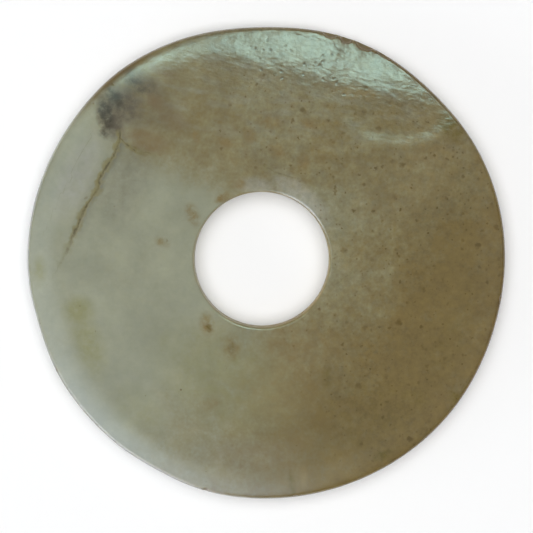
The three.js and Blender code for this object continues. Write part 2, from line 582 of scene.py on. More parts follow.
@dataclass(frozen=True)
class RingSweep:
    """The true round ring: the disc's section swept round the axis by Geometry Nodes."""

    form: DiscForm
    columns: int = 540
    face_step: float = 0.95
    back_step: float = 4.0
    round_steps: int = 10
    lip_steps: int = 6
    wall_step: float = 0.9

    def section(self) -> Array:
        """The ring's section as a closed outline, in the order that turns its faces outwards.

        Returns:
            Its points, across from the axis and up from the back.
        """
        form = self.form
        waist = (form.hole_radius, form.waist_height)
        front_mouth = (waist[0] + form.front_taper, form.thickness - form.front_lip)
        front_lip = (front_mouth[0] + form.front_lip, form.thickness)
        rim_top = (form.rim_radius - form.rim_round_in, form.thickness)
        wall_top = (form.rim_radius, form.thickness - form.rim_round_down)
        wall_foot = (form.rim_radius, form.foot_round_up)
        foot = (form.rim_radius - form.foot_round_in, 0.0)
        back_mouth = (waist[0] + form.back_taper, form.back_lip)
        back_lip = (back_mouth[0] + form.back_lip, 0.0)
        stretches = (
            self.straight(waist, front_mouth, self.wall_step),
            self.quarter(front_mouth, front_lip, self.lip_steps, upright=True),
            self.straight(front_lip, rim_top, self.face_step),
            self.quarter(rim_top, wall_top, self.round_steps, upright=False),
            self.straight(wall_top, wall_foot, self.wall_step),
            self.quarter(wall_foot, foot, self.lip_steps, upright=True),
            self.straight(foot, back_lip, self.back_step),
            self.quarter(back_lip, back_mouth, self.lip_steps, upright=False),
            self.straight(back_mouth, waist, self.wall_step),
        )
        return np.concatenate(stretches)

    @staticmethod
    def straight(start: Sequence[float], end: Sequence[float], step: float) -> Array:
        """Points along a straight stretch, about a step apart, without its first one.

        Args:
            start: Where the stretch starts.
            end: Where it ends.
            step: The distance from point to point, about.

        Returns:
            The points, one row each.
        """
        start, end = np.array(start), np.array(end)
        steps = max(1, round(math.dist(start, end) / step))
        return start + np.outer(np.arange(1, steps + 1) / steps, end - start)

    @staticmethod
    def quarter(start: Sequence[float], end: Sequence[float], steps: int, upright: bool) -> Array:
        """Points of a quarter round without its first one; upright leaves the start along the height.

        Args:
            start: Where the quarter round starts.
            end: Where it ends.
            steps: How many points it gets.
            upright: Whether it starts along the height, not across.

        Returns:
            The points, one row each.
        """
        start, end = np.array(start), np.array(end)
        turn = np.arange(1, steps + 1) / steps * math.pi / 2
        ways = (1 - np.cos(turn), np.sin(turn))
        across, up = ways if upright else ways[::-1]
        return start + (end - start) * np.column_stack((across, up))

    def tree(self) -> Graph:
        """The tree that sweeps a closed section round a circle of the given radius.

        Returns:
            The tree.
        """
        given = {
            "Section": "NodeSocketGeometry",
            "Radius": "NodeSocketFloat",
            "Columns": "NodeSocketInt",
            "Material": "NodeSocketMaterial",
        }
        graph = tree_with("GeometryNodeTree", "ring_sweep", given, {"Ring": "NodeSocketGeometry"})
        inputs = graph.add("NodeGroupInput").outputs
        section = graph.add("GeometryNodeMeshToCurve", {"Mesh": inputs["Section"]})
        path_sizes = {"Resolution": inputs["Columns"], "Radius": inputs["Radius"]}
        path = graph.add("GeometryNodeCurvePrimitiveCircle", path_sizes)
        sweep = graph.add("GeometryNodeCurveToMesh", {"Curve": path, "Profile Curve": section})
        graph.add("NodeGroupOutput", {"Ring": graph.dressed(sweep, inputs["Material"])})
        return graph

    def build(self, material: bpy.types.Material) -> bpy.types.Mesh:
        """Sweeps the ring.

        Args:
            material: The finish that the ring carries.

        Returns:
            The ring's mesh, in millimetres.
        """
        middle = (self.form.hole_radius + self.form.rim_radius) / 2
        points = [(across - middle, -up, 0.0) for across, up in self.section()]
        edges = [(index, (index + 1) % len(points)) for index in range(len(points))]
        section = bpy.data.meshes.new("section")
        section.from_pydata(points, edges, [])
        values = {"Radius": middle, "Columns": self.columns, "Material": material}
        return grow(section, self.tree(), values, "ring")


@dataclass(frozen=True)
class Crack:
    """A natural crack in the face: its path, how wide and deep it is, and the band of painted shade to its
    left.
    """

    name: str
    path: tuple[tuple[float, float], ...]
    half_width: float
    depth: float
    opening: float
    shade_reach: float = 0.0
    farthest: float = 10.0

    def follow(self, places: Array) -> tuple[Array, Array]:
        """Measures places against the path.

        Args:
            places: The points to measure.

        Returns:
            Each place's distance from the path, over 0 on its left, and its share of the way along it.
        """
        points = np.array(self.path, float)
        lengths = np.hypot(*np.diff(points, axis=0).T)
        begun = np.concatenate(([0.0], np.cumsum(lengths)))
        nearest = np.full(len(places), self.farthest)
        side = np.ones(len(places))
        along = np.zeros(len(places))
        for index, (start, end) in enumerate(zip(points[:-1], points[1:])):
            step = (end - start) / lengths[index]
            offset = places[:, :2] - start
            way = np.clip(offset @ step, 0, lengths[index])
            distance = np.hypot(*(offset - np.outer(way, step)).T)
            closer = distance < nearest
            nearest[closer] = distance[closer]
            turned = step[0] * offset[:, 1] - step[1] * offset[:, 0]
            side[closer] = np.where(turned[closer] > 0, 1.0, -1.0)
            along[closer] = (begun[index] + way[closer]) / begun[-1]
        return nearest * side, along

    def open_share(self, along: Array) -> Array:
        """How far the crack stands open along its way, closing at both ends."""
        return self.opening * smooth_step(along, 0.0, 0.06) * (0.2 + 0.8 * smooth_step(along, 1.0, 0.7))

    def marks(self, places: Array) -> dict[str, Array]:
        """What the finish reads of the crack at each place, under the crack's name."""
        offset, along = self.follow(places)
        return {self.name + "_offset": offset, self.name + "_open": self.open_share(along)}

    def groove(self, places: Array) -> Array:
        """How deep the crack cuts into the face at each place."""
        offset, along = self.follow(places)
        return self.depth * bell(offset, self.half_width) * self.open_share(along)

    def shade(self, places: Array) -> Array:
        """How much of the painted shade beside the crack falls at each place, where the crack dips under
        the face.

        Args:
            places: Points of the stone, one row each.

        Returns:
            One share each, from 0 to 1.
        """
        if not self.shade_reach:
            return np.zeros(len(places))
        offset, along = self.follow(places)
        reach = self.shade_reach * (1.1 - along)
        band = np.where(offset > 0, np.clip(1 - offset / reach, 0, 1) ** 1.3, bell(offset, 0.35))
        return band * smooth_step(along, 1.0, 0.45) * smooth_step(along, 0.0, 0.12)


FISSURE = Crack(
    "fissure",
    (
        (-51.7, 48.5),
        (-52.0, 43.5),
        (-54.5, 37.5),
        (-57.9, 32.5),
        (-59.4, 29.3),
        (-59.5, 26.8),
        (-62.9, 22.0),
        (-65.3, 17.8),
        (-66.9, 13.5),
        (-69.1, 9.2),
        (-70.6, 4.9),
        (-73.4, 0.0),
    ),
    half_width=0.5,
    depth=0.08,
    opening=0.9,
    shade_reach=3.4,
)
BRANCH = Crack(
    "branch",
    ((-52.2, 44.6), (-49.3, 42.1), (-45.6, 39.2), (-41.4, 39.3), (-39.0, 37.6)),
    half_width=0.4,
    depth=0.02,
    opening=0.75,
)
UPPER_HAIRLINE = Crack(
    "upper_hairline",
    ((-1.6, 35.0), (3.0, 32.5), (7.6, 31.1), (11.9, 29.6)),
    half_width=0.3,
    depth=0.0,
    opening=0.4,
)
RIGHT_HAIRLINE = Crack(
    "right_hairline",
    ((24.4, -7.7), (28.6, -4.5), (33.3, -1.6)),
    half_width=0.3,
    depth=0.0,
    opening=0.3,
)
CRACKS = (FISSURE, BRANCH, UPPER_HAIRLINE, RIGHT_HAIRLINE)


@dataclass(frozen=True)
class Polish:
    """What the polish left uneven: long swells all over, and waves and streaks on the slope."""

    swell_size: float = 24.0
    swell_height: float = 0.05
    wave_size: float = 10.0
    wave_height: float = 0.14
    streak_length: float = 5.4
    streak_width: float = 3.6
    streak_height: float = 0.09
    streak_reach: float = 22.0
    wave_stretch: float = 1.6
    finer_by: float = 2.2
    finer_share: float = 0.45
    quiet_share: float = 0.04

    def height(self, form: DiscForm, places: Array) -> Array:
        """The unevenness of the face at each place.

        Args:
            form: The stone's form, for where its slope lies.
            places: Points of the stone, one row each.

        Returns:
            One height each.
        """
        swell = self.swell_height * grain(places, (self.swell_size,) * 3, 11.3)
        across = towards(form.slope_direction - 90)
        down = towards(form.slope_direction)
        turned = np.column_stack((places[:, :2] @ across, places[:, :2] @ down, places[:, 2] * 0))
        wave_size = (self.wave_size * self.wave_stretch, self.wave_size, 1.0)
        waves = self.wave_height * grain(turned, wave_size, 31.9)
        streaks = grain(turned, (self.streak_length, self.streak_width, 1.0), 5.5)
        finer_size = (self.streak_length / self.finer_by, self.streak_width / self.finer_by, 1.0)
        streaks += self.finer_share * grain(turned, finer_size, 19.1)
        past_edge = form.past_slope_edge(places)
        on_slope = smooth_step(past_edge, -8, 3)
        above = smooth_step(past_edge, -self.streak_reach, 4)
        share = self.quiet_share + (1 - self.quiet_share) * above**1.5
        return swell + waves * on_slope + self.streak_height * streaks * share


@dataclass(frozen=True)
class Pitting:
    """Tiny pits plucked out of the polish, scattered over the face by Geometry Nodes."""

    clusters: tuple[tuple[float, float, float], ...] = ((24.5, 69.0, 8.5), (1.0, 75.0, 9.0))
    per_square_cm: float = 9.0
    least_gap: float = 1.7
    radius: float = 0.45
    depth: float = 0.18
    seed: int = 7

    def share(self, places: Array) -> Array:
        """How pitted the stone is at each place, from 0 to 1."""
        distances = [np.hypot(places[:, 0] - x, places[:, 1] - y) / reach for x, y, reach in self.clusters]
        return bell(np.min(distances, axis=0), 1.0)

    def tree(self) -> Graph:
        """The tree that scatters pits where the mesh says that it is pitted, and sinks them.

        Returns:
            The tree.
        """
        given = {
            "Stone": "NodeSocketGeometry",
            "Density": "NodeSocketFloat",
            "Gap": "NodeSocketFloat",
            "Radius": "NodeSocketFloat",
            "Depth": "NodeSocketFloat",
            "Seed": "NodeSocketInt",
            "Material": "NodeSocketMaterial",
        }
        graph = tree_with("GeometryNodeTree", "pitting", given, {"Stone": "NodeSocketGeometry"})
        inputs = graph.add("NodeGroupInput").outputs
        pitted = graph.add("GeometryNodeInputNamedAttribute", {"Name": "pitted"}, data_type="FLOAT")
        points = graph.add(
            "GeometryNodeDistributePointsOnFaces",
            {
                "Mesh": inputs["Stone"],
                "Distance Min": inputs["Gap"],
                "Density Max": inputs["Density"],
                "Density Factor": pitted.outputs["Attribute"],
                "Seed": inputs["Seed"],
            },
            distribute_method="POISSON",
        )
        nearest = graph.add("GeometryNodeProximity", {"Geometry": points}, target_element="POINTS")
        share = graph.math("DIVIDE", nearest.outputs["Distance"], inputs["Radius"])
        sunk = graph.span(share, 0.35, 1.0, 1.0, 0.0)
        marked = graph.add(
            "GeometryNodeStoreNamedAttribute",
            {"Geometry": inputs["Stone"], "Name": "pit", "Value": sunk},
            data_type="FLOAT",
            domain="POINT",
        )
        depth = graph.math("MULTIPLY", graph.math("MULTIPLY", sunk, inputs["Depth"]), -1.0)
        normal = graph.add("GeometryNodeInputNormal")
        inwards = graph.add("ShaderNodeVectorMath", {0: normal, "Scale": depth}, operation="SCALE")
        sinking = {"Geometry": marked, "Offset": inwards.outputs["Vector"]}
        moved = graph.add("GeometryNodeSetPosition", sinking)
        graph.add("NodeGroupOutput", {"Stone": graph.dressed(moved, inputs["Material"])})
        return graph

    def sink(self, stone: bpy.types.Mesh, material: bpy.types.Material) -> bpy.types.Mesh:
        """Sinks the pits into a mesh in millimetres that carries the attribute "pitted".

        Args:
            stone: The mesh.
            material: The finish that the new mesh carries.

        Returns:
            The pitted mesh, with its pits marked in the attribute "pit".
        """
        values = {
            "Density": self.per_square_cm / 100,
            "Gap": self.least_gap,
            "Radius": self.radius,
            "Depth": self.depth,
            "Seed": self.seed,
            "Material": material,
        }
        return grow(stone, self.tree(), values, "pitted_stone")


class Tone(Enum):
    """What the stone is stained with, as linear red, green and blue, in the order that the stains lie; milk
    also paints sheen by the hole and smoke also paints shade beside the fissure.
    """

    # Milk also paints the sheen round the top of the hole.
    MILK = (0.315, 0.318, 0.262)
    MOSS = (0.225, 0.222, 0.106)
    # Smoke also paints the shade beside the fissure.
    SMOKE = (0.098, 0.078, 0.047)
    OCHRE = (0.180, 0.130, 0.052)
    RUSSET = (0.150, 0.106, 0.046)
    RUST = (0.190, 0.138, 0.048)
    UMBER = (0.118, 0.086, 0.012)
    SOOT = (0.042, 0.032, 0.014)

    @property
    def mark(self) -> str:
        """The name of the mesh attribute that says how much of the tone lies at each place."""
        return "stain_" + self.name.lower()

    @property
    def raggedness(self) -> float:
        """How much its stains break up, from smooth at 0 to patchy at 1."""
        return 0.8 if self in (Tone.RUST, Tone.UMBER, Tone.SOOT) else 0.35


@dataclass(frozen=True)
class Stain:
    """A soft-edged patch of a tone: its middle, its half size, its turn and how strongly it shows."""

    tone: Tone
    x: float
    y: float
    half_wide: float
    half_high: float
    turn: float
    strength: float
    softness: float = 0.6

    def share(self, places: Array) -> Array:
        """How strongly the stain shows at each place.

        Args:
            places: Points of the stone, one row each.

        Returns:
            One share each.
        """
        offset = places[:, :2] - (self.x, self.y)
        across = offset @ towards(self.turn) / self.half_wide
        up = offset @ towards(self.turn + 90) / self.half_high
        return self.strength * (1 - smooth_step(np.hypot(across, up), 1 - self.softness, 1 + self.softness))


@dataclass(frozen=True)
class NephriteFinish:
    """Polished nephrite: celadon that turns russet from one side, smoke-stained and lightly worn.

    Colours are linear red, green and blue. A speck size is the speck's and then its cell's, and a row of
    the mottling is its swellings' size, their share and their detail.
    """

    celadon: Colour = (0.266, 0.275, 0.191)
    willow: Colour = (0.228, 0.214, 0.123)
    olive: Colour = (0.199, 0.171, 0.082)
    tan: Colour = (0.171, 0.134, 0.051)
    russet: Colour = (0.161, 0.114, 0.031)
    speck: Colour = (0.088, 0.055, 0.006)
    crack: Colour = (0.090, 0.072, 0.030)
    crack_edge: Colour = (0.195, 0.170, 0.066)
    # Painted shade beside the fissure, on the side where it dips under the face.
    dim_band: Colour = (0.090, 0.088, 0.058)
    bore_skin: Colour = (0.340, 0.260, 0.120)
    rim_skin: Colour = (0.125, 0.082, 0.028)
    # Painted glow: the left rim's edge painted lighter, as if lit through the thin stone.
    rim_glow: Colour = (0.430, 0.440, 0.430)
    veil: Colour = (0.240, 0.240, 0.185)
    scar: Colour = (0.165, 0.120, 0.048)
    pit: Colour = (0.045, 0.045, 0.030)

    russet_direction: float = -31.0
    russet_start: float = -12.0
    russet_end: float = 58.0
    russet_drift: float = 16.0
    speckled_direction: float = 20.0
    speckled_from_to: tuple[float, float] = (-25.0, 30.0)
    speck_sizes: tuple[tuple[float, float], ...] = ((0.5, 1.8), (0.9, 3.2), (1.6, 7.0))
    russet_top: Stain = Stain(Tone.OCHRE, 5.0, 62.0, 68.0, 40.0, 0.0, 0.56, 0.2)
    pale_island: Stain = Stain(Tone.MILK, 31.0, -9.0, 15.0, 16.0, 20.0, 0.18, 0.5)
    mottling: tuple[tuple[float, float, float], ...] = (
        (20.0, 0.45, 1.0),
        (8.0, 0.4, 2.0),
        (3.0, 0.5, 2.0),
        (1.1, 0.4, 1.0),
    )
    patchy_size: float = 2.6
    fleck_size: float = 2.4
    fleck_shades: tuple[float, float] = (0.82, 1.18)
    cloud_size: float = 14.0
    cloud_shades: tuple[float, float] = (0.88, 1.12)
    crack_wander: float = 1.3
    crack_line_from_to: tuple[float, float] = (0.3, 1.1)
    crack_edge_from_to: tuple[float, float] = (0.6, 3.6)
    crack_edge_shift: float = 0.2
    veil_turn: float = -10.0
    veil_size: tuple[float, float, float] = (9.0, 3.0, 9.0)
    veil_from_to: tuple[float, float] = (25.0, 60.0)
    veil_share: float = 0.3

    refraction: float = 1.61
    scatter_share: float = 0.5
    scatter_depth: Colour = (1.0, 0.85, 0.5)
    scatter_scale: float = 0.003
    polish_roughness: float = 0.2
    matt_roughness: float = 0.24
    scar_roughness: float = 0.42
    bump_height: float = 0.11
    hairline_turn: float = -14.0
    hairline_size: tuple[float, float, float] = (2.8, 1.1, 2.8)
    grain_size: float = 1.1
    grain_share: float = 0.4
    sawn_direction: float = 75.0
    sawn_from_to: tuple[float, float] = (40.0, 70.0)
    calm_share: float = 0.1

    stains: tuple[Stain, ...] = (
        Stain(Tone.SMOKE, 14.0, 73.0, 62.0, 11.0, -14.0, 0.4, 0.5),
        Stain(Tone.SMOKE, -50.5, 56.5, 8.5, 6.5, -42.0, 0.8, 0.6),
        Stain(Tone.SMOKE, -55.0, 52.5, 4.5, 8.0, 15.0, 0.85, 0.5),
        Stain(Tone.SMOKE, -44.0, 64.0, 9.0, 3.6, -33.0, 0.75, 0.6),
        Stain(Tone.SMOKE, -40.0, 53.0, 8.0, 5.5, -30.0, 0.35, 0.8),
        # The next two smoke patches paint shade beside the fissure.
        Stain(Tone.SMOKE, -61.0, 25.0, 3.2, 17.0, -24.0, 0.3, 0.8),
        Stain(Tone.SMOKE, -50.0, 30.0, 8.0, 17.0, -20.0, 0.34, 0.9),
        Stain(Tone.SOOT, -57.0, 53.0, 2.4, 5.5, 8.0, 0.9, 0.7),
        Stain(Tone.SOOT, -54.0, 58.6, 4.0, 2.4, -40.0, 0.7, 0.7),
        Stain(Tone.SOOT, -46.5, 63.4, 5.0, 2.0, -35.0, 0.45, 0.8),
        Stain(Tone.SOOT, -57.6, 47.2, 1.8, 2.8, 0.0, 0.55, 0.8),
        Stain(Tone.OCHRE, -57.0, 57.8, 1.5, 2.4, 15.0, 0.6),
        Stain(Tone.RUSSET, -39.3, 57.5, 3.4, 2.2, -20.0, 0.8),
        Stain(Tone.RUSSET, -33.5, 51.8, 7.0, 3.6, -38.0, 0.5),
        Stain(Tone.RUSSET, -36.0, 68.0, 5.0, 1.8, -20.0, 0.5),
        Stain(Tone.OCHRE, -42.5, 43.5, 8.0, 4.0, -18.0, 0.75),
        Stain(Tone.UMBER, -46.5, 40.4, 4.4, 1.0, -28.0, 0.5),
        Stain(Tone.RUST, 33.0, 59.9, 9.0, 2.2, -8.0, 0.7),
        Stain(Tone.RUST, 60.0, 44.0, 10.0, 12.0, -40.0, 0.6, 0.8),
        Stain(Tone.RUST, 50.0, 26.0, 18.0, 12.0, 0.0, 0.4, 0.8),
        Stain(Tone.RUST, 13.0, -31.0, 14.0, 9.0, 0.0, 0.42, 0.8),
        Stain(Tone.RUST, 5.0, -46.0, 17.0, 11.0, 0.0, 0.35, 0.8),
        Stain(Tone.RUST, -20.2, -50.2, 4.5, 2.6, 20.0, 0.35),
        Stain(Tone.RUST, 14.0, -64.0, 5.0, 3.0, 0.0, 0.4),
        Stain(Tone.UMBER, 66.0, 48.0, 5.0, 3.8, -40.0, 0.75, 0.7),
        Stain(Tone.UMBER, 66.0, -28.0, 9.0, 20.0, -20.0, 0.16, 0.8),
        Stain(Tone.UMBER, 32.0, -54.0, 22.0, 14.0, 12.0, 0.27, 0.8),
        Stain(Tone.UMBER, 21.6, -41.1, 1.8, 5.0, 0.0, 0.4),
        Stain(Tone.UMBER, 53.1, -48.3, 4.5, 2.5, -20.0, 0.35),
        Stain(Tone.UMBER, 33.4, -64.9, 4.0, 2.0, 10.0, 0.4),
        Stain(Tone.UMBER, 41.7, -69.0, 3.2, 1.5, 25.0, 0.95),
        Stain(Tone.UMBER, 68.0, -48.0, 1.8, 3.2, 40.0, 0.85),
        Stain(Tone.UMBER, 9.2, -79.5, 1.0, 4.4, 8.0, 0.85),
        Stain(Tone.RUST, 13.5, -77.0, 1.2, 4.0, 0.0, 0.9),
        Stain(Tone.MILK, -67.0, 31.0, 5.5, 15.0, -24.0, 0.65),
        # Painted sheen on the stone at the upper right of the hole's lip.
        Stain(Tone.MILK, 12.0, 23.0, 12.0, 4.5, -42.0, 0.6),
        Stain(Tone.MILK, -10.0, -71.0, 26.0, 8.0, 0.0, 0.2, 0.8),
        # Painted sheen above the hole's lip.
        Stain(Tone.MILK, -3.5, 27.5, 7.0, 3.0, -5.0, 0.5),
        Stain(Tone.MOSS, -67.0, -17.0, 4.6, 4.6, 0.0, 0.95, 0.8),
        Stain(Tone.MOSS, -64.0, -28.0, 4.5, 11.0, 20.0, 0.75, 0.8),
        Stain(Tone.MOSS, -81.0, -2.4, 2.2, 4.5, 0.0, 0.75, 0.8),
        Stain(Tone.MOSS, -36.0, -27.0, 2.5, 4.0, -30.0, 0.4, 0.8),
        Stain(Tone.MOSS, -46.0, -52.0, 10.0, 7.0, -40.0, 0.35, 0.8),
        Stain(Tone.MOSS, -15.0, -41.0, 24.0, 15.0, -30.0, 0.55, 0.7),
        Stain(Tone.RUST, -21.2, -21.7, 2.4, 3.6, 10.0, 0.65),
        Stain(Tone.UMBER, -20.6, -23.0, 0.8, 1.6, 20.0, 0.8),
        Stain(Tone.RUST, -12.3, -29.9, 3.6, 4.6, 0.0, 0.45),
        Stain(Tone.UMBER, -12.6, -30.5, 1.2, 1.8, 0.0, 0.55),
        Stain(Tone.RUST, -36.9, 7.6, 2.6, 1.7, -20.0, 0.45),
        Stain(Tone.RUST, -26.2, 17.2, 2.2, 3.8, 20.0, 0.6),
        Stain(Tone.RUST, -15.5, 23.4, 3.0, 1.6, 25.0, 0.7),
        Stain(Tone.RUST, -10.0, 28.3, 3.0, 1.8, 0.0, 0.55),
        Stain(Tone.RUST, -24.8, 45.1, 1.4, 2.2, 15.0, 0.7),
        Stain(Tone.RUST, -14.8, 43.0, 2.8, 1.6, -20.0, 0.6),
        Stain(Tone.RUST, -5.8, 45.2, 2.0, 2.8, 10.0, 0.6),
        Stain(Tone.RUST, 4.0, 40.0, 3.6, 2.2, -30.0, 0.6),
        Stain(Tone.RUST, 12.9, 36.7, 2.2, 3.0, 20.0, 0.6),
        Stain(Tone.RUST, 1.2, 50.4, 4.0, 2.4, -10.0, 0.6),
        Stain(Tone.RUST, 15.5, 49.4, 3.4, 1.8, -20.0, 0.6),
    )

    def stain_shares(self, places: Array) -> dict[str, Array]:
        """How much of each tone lies at each place, under the tone's mark.

        Args:
            places: Points of the stone, one row each.

        Returns:
            One share for each place, under each tone's mark.
        """
        shares = {tone.mark: np.zeros(len(places)) for tone in Tone}
        for stain in self.stains:
            mark = stain.tone.mark
            shares[mark] = np.maximum(shares[mark], stain.share(places))
        return shares

    def patch_group(self) -> bpy.types.NodeTree:
        """Node group: the strength inside an ellipse in the face's plane, fading to 0 round its edge.

        Returns:
            The group's tree.
        """
        given = {
            "Place": "NodeSocketVector",
            "Middle": "NodeSocketVector",
            "Half size": "NodeSocketVector",
            "Turn": "NodeSocketFloat",
            "Softness": "NodeSocketFloat",
            "Strength": "NodeSocketFloat",
        }
        graph = tree_with("ShaderNodeTree", "soft_patch", given, {"Mask": "NodeSocketFloat"})
        inputs = graph.add("NodeGroupInput").outputs
        offset = graph.vector("SUBTRACT", inputs["Place"], inputs["Middle"])
        turn_inputs = {"Vector": offset, "Angle": inputs["Turn"]}
        turned = graph.add("ShaderNodeVectorRotate", turn_inputs, rotation_type="Z_AXIS", invert=True)
        distance = graph.vector("LENGTH", graph.vector("DIVIDE", turned.outputs[0], inputs["Half size"]))
        inner = graph.math("SUBTRACT", 1.0, inputs["Softness"])
        outer = graph.math("ADD", 1.0, inputs["Softness"])
        graph.add("NodeGroupOutput", {"Mask": graph.span(distance, inner, outer, inputs["Strength"], 0.0)})
        return graph.tree

    @staticmethod
    def patch(graph: Graph, group: bpy.types.NodeTree, place: object,
              stain: Stain) -> bpy.types.NodeSocket:
        """The mask of one patch at a place.

        Args:
            graph: The finish's node tree.
            group: The node group of a patch.
            place: The socket of the place on the stone, in millimetres.
            stain: The patch's place, size and strength. Its tone isn't read.

        Returns:
            The mask's socket.
        """
        through_stone = 20.0
        node = graph.add("ShaderNodeGroup", node_tree=group)
        values = {
            "Place": place,
            "Middle": (stain.x, stain.y, 0.0),
            "Half size": (stain.half_wide, stain.half_high, through_stone),
            "Turn": math.radians(stain.turn),
            "Softness": stain.softness,
            "Strength": stain.strength,
        }
        for name, value in values.items():
            graph.feed(node.inputs[name], value)
        return node.outputs["Mask"]

    @staticmethod
    def drift(graph: Graph, place: object, size: float, reach: float) -> bpy.types.NodeSocket:
        """A place pushed about by noise, so that what is read there gets ragged edges.

        Args:
            graph: The finish's node tree.
            place: The socket of the place on the stone, in millimetres.
            size: How long the noise's swellings are.
            reach: How far it pushes.

        Returns:
            The pushed place's socket.
        """
        push = graph.noise(place, size, detail=3.0).outputs["Color"]
        centred = graph.vector("SUBTRACT", push, (0.5, 0.5, 0.5))
        scaled = graph.vector("MULTIPLY", centred, (reach, reach, 0.0))
        return graph.vector("ADD", place, scaled)

    def russeting(self, graph: Graph, place: object, group: bpy.types.NodeTree) -> bpy.types.NodeSocket:
        """How far the stone has turned russet, from 0 to 1.

        Args:
            graph: The finish's node tree.
            place: The socket of the place on the stone, in millimetres.
            group: The node group of a patch.

        Returns:
            The share's socket.
        """
        drifted = self.drift(graph, place, self.russet_drift, self.russet_drift)
        axis = (*towards(self.russet_direction), 0.0)
        way = graph.vector("DOT_PRODUCT", drifted, axis)
        side = graph.span(way, self.russet_start, self.russet_end, eased=False)
        top = self.patch(graph, group, drifted, self.russet_top)
        kept = graph.math("MULTIPLY", graph.math("SUBTRACT", 1.0, side), graph.math("SUBTRACT", 1.0, top))
        russet = graph.math("SUBTRACT", 1.0, kept)
        island = self.patch(graph, group, drifted, self.pale_island)
        russet = graph.math("SUBTRACT", russet, island)
        where = graph.span(russet, 0.0, 0.5, 0.2, 1.0)
        for size, share, detail in self.mottling:
            swing = graph.math("SUBTRACT", graph.noise(place, size, detail).outputs["Fac"], 0.5)
            russet = graph.math("MULTIPLY_ADD", graph.math("MULTIPLY", swing, share), where, russet)
        return russet

    def body_colour(self, graph: Graph, russet: object) -> bpy.types.NodeSocket:
        """The stone's own colour for how russet it is.

        Args:
            graph: The finish's node tree.
            russet: How russet the stone is, from 0 to 1.

        Returns:
            The colour's socket.
        """
        ramp = graph.add("ShaderNodeValToRGB", {"Fac": russet})
        colours = (self.celadon, self.willow, self.olive, self.tan, self.russet)
        elements = ramp.color_ramp.elements
        while len(elements) < len(colours):
            elements.new(0.5)
        for index, colour in enumerate(colours):
            elements[index].position = index / (len(colours) - 1)
            elements[index].color = (*colour, 1.0)
        return ramp.outputs["Color"]

    def speckled(self, graph: Graph, place: object) -> bpy.types.NodeSocket:
        """How speckled each part of the stone is, from 0 at its lower left to 1 at its right."""
        way = graph.vector("DOT_PRODUCT", place, (*towards(self.speckled_direction), 0.0))
        return graph.span(way, *self.speckled_from_to)

    def specks(self, graph: Graph, place: object, scarce: object, size: float,
               cell: float) -> bpy.types.NodeSocket:
        """Where mineral specks of a size lie, one at most to each cell, and fewer where they are scarce.

        Args:
            graph: The finish's node tree.
            place: The socket of the place on the stone, in millimetres.
            scarce: How scarce the specks are, from 0 for one in each cell to over 1 for none.
            size: How wide a speck is.
            cell: How wide a cell is.

        Returns:
            The socket of how strongly a speck shows.
        """
        drifted = self.drift(graph, place, size * 1.3, size * 1.7)
        cells = graph.add("ShaderNodeTexVoronoi", {"Vector": drifted, "Scale": 1 / cell})
        chance = graph.add("ShaderNodeSeparateColor", {"Color": cells.outputs["Color"]})
        dot = graph.span(cells.outputs["Distance"], 0.3 * size / cell, size / cell, 1.0, 0.0)
        clumps = graph.span(graph.noise(place, cell * 3, 2.0).outputs["Fac"], 0.35, 0.65, -0.3, 0.3)
        chosen = graph.math("GREATER_THAN", graph.math("ADD", chance.outputs["Red"], clumps), scarce)
        depth = graph.span(chance.outputs["Green"], 0.0, 1.0, 0.1, 0.85, eased=False)
        return graph.math("MULTIPLY", graph.math("MULTIPLY", dot, chosen), depth)

    def veils(self, graph: Graph, place: object) -> bpy.types.NodeSocket:
        """Pale brushed streaks in the upper part of the stone.

        Args:
            graph: The finish's node tree.
            place: The socket of the place on the stone, in millimetres.

        Returns:
            The socket of how strongly a streak shows.
        """
        turned = graph.turned(place, self.veil_turn, self.veil_size)
        streaks = graph.add("ShaderNodeTexNoise", {"Vector": turned, "Scale": 1.0, "Detail": 3.0})
        height = graph.add("ShaderNodeSeparateXYZ", {"Vector": place}).outputs["Y"]
        veil = graph.span(streaks.outputs["Fac"], 0.45, 0.7, 0.0, 1.0)
        return graph.math("MULTIPLY", veil, graph.span(height, *self.veil_from_to, 0.0, self.veil_share))

    def crack_colour(self, graph: Graph, place: object, crack: Crack,
                     colour: object) -> bpy.types.NodeSocket:
        """A colour with one crack drawn in it: a dark line, and an ochre edge on its right.

        Args:
            graph: The finish's node tree.
            place: The socket of the place on the stone, in millimetres.
            crack: The crack.
            colour: The colour round it.

        Returns:
            The colour's socket.
        """
        offset = graph.mark(crack.name + "_offset")
        opened = graph.mark(crack.name + "_open")
        wander = graph.math("SUBTRACT", graph.noise(place, 1.6, 3.0).outputs["Fac"], 0.5)
        width = graph.span(graph.noise(place, 2.7, 1.0).outputs["Fac"], 0.35, 0.7, 0.55, 1.5)
        width = graph.math("MULTIPLY", width, crack.half_width)
        offset = graph.math("MULTIPLY_ADD", wander, self.crack_wander, offset)
        offset = graph.math("DIVIDE", offset, width)
        beside = graph.math("ABSOLUTE", graph.math("ADD", offset, self.crack_edge_shift))
        edge = graph.span(beside, *self.crack_edge_from_to, 0.95, 0.0)
        colour = graph.blend(graph.math("MULTIPLY", edge, opened), colour, self.crack_edge)
        line = graph.span(graph.math("ABSOLUTE", offset), *self.crack_line_from_to, 1.0, 0.0)
        broken = graph.span(graph.noise(place, 2.1, 3.0, 0.6).outputs["Fac"], 0.4, 0.6, 0.2, 1.0)
        line = graph.math("MULTIPLY", line, graph.math("MULTIPLY", opened, broken))
        return graph.blend(line, colour, self.crack)

    def colour(self, graph: Graph, place: object) -> bpy.types.NodeSocket:
        """The stone's colour with its stains, specks, veils and cracks, and with the painted shade, glow
        and sheen that some of its marks and patches stand for.

        Args:
            graph: The finish's node tree.
            place: The socket of the place on the stone, in millimetres.

        Returns:
            The colour's socket.
        """
        group = self.patch_group()
        russet = self.russeting(graph, place, group)
        colour = self.body_colour(graph, russet)
        colour = graph.blend(self.veils(graph, place), colour, self.veil)

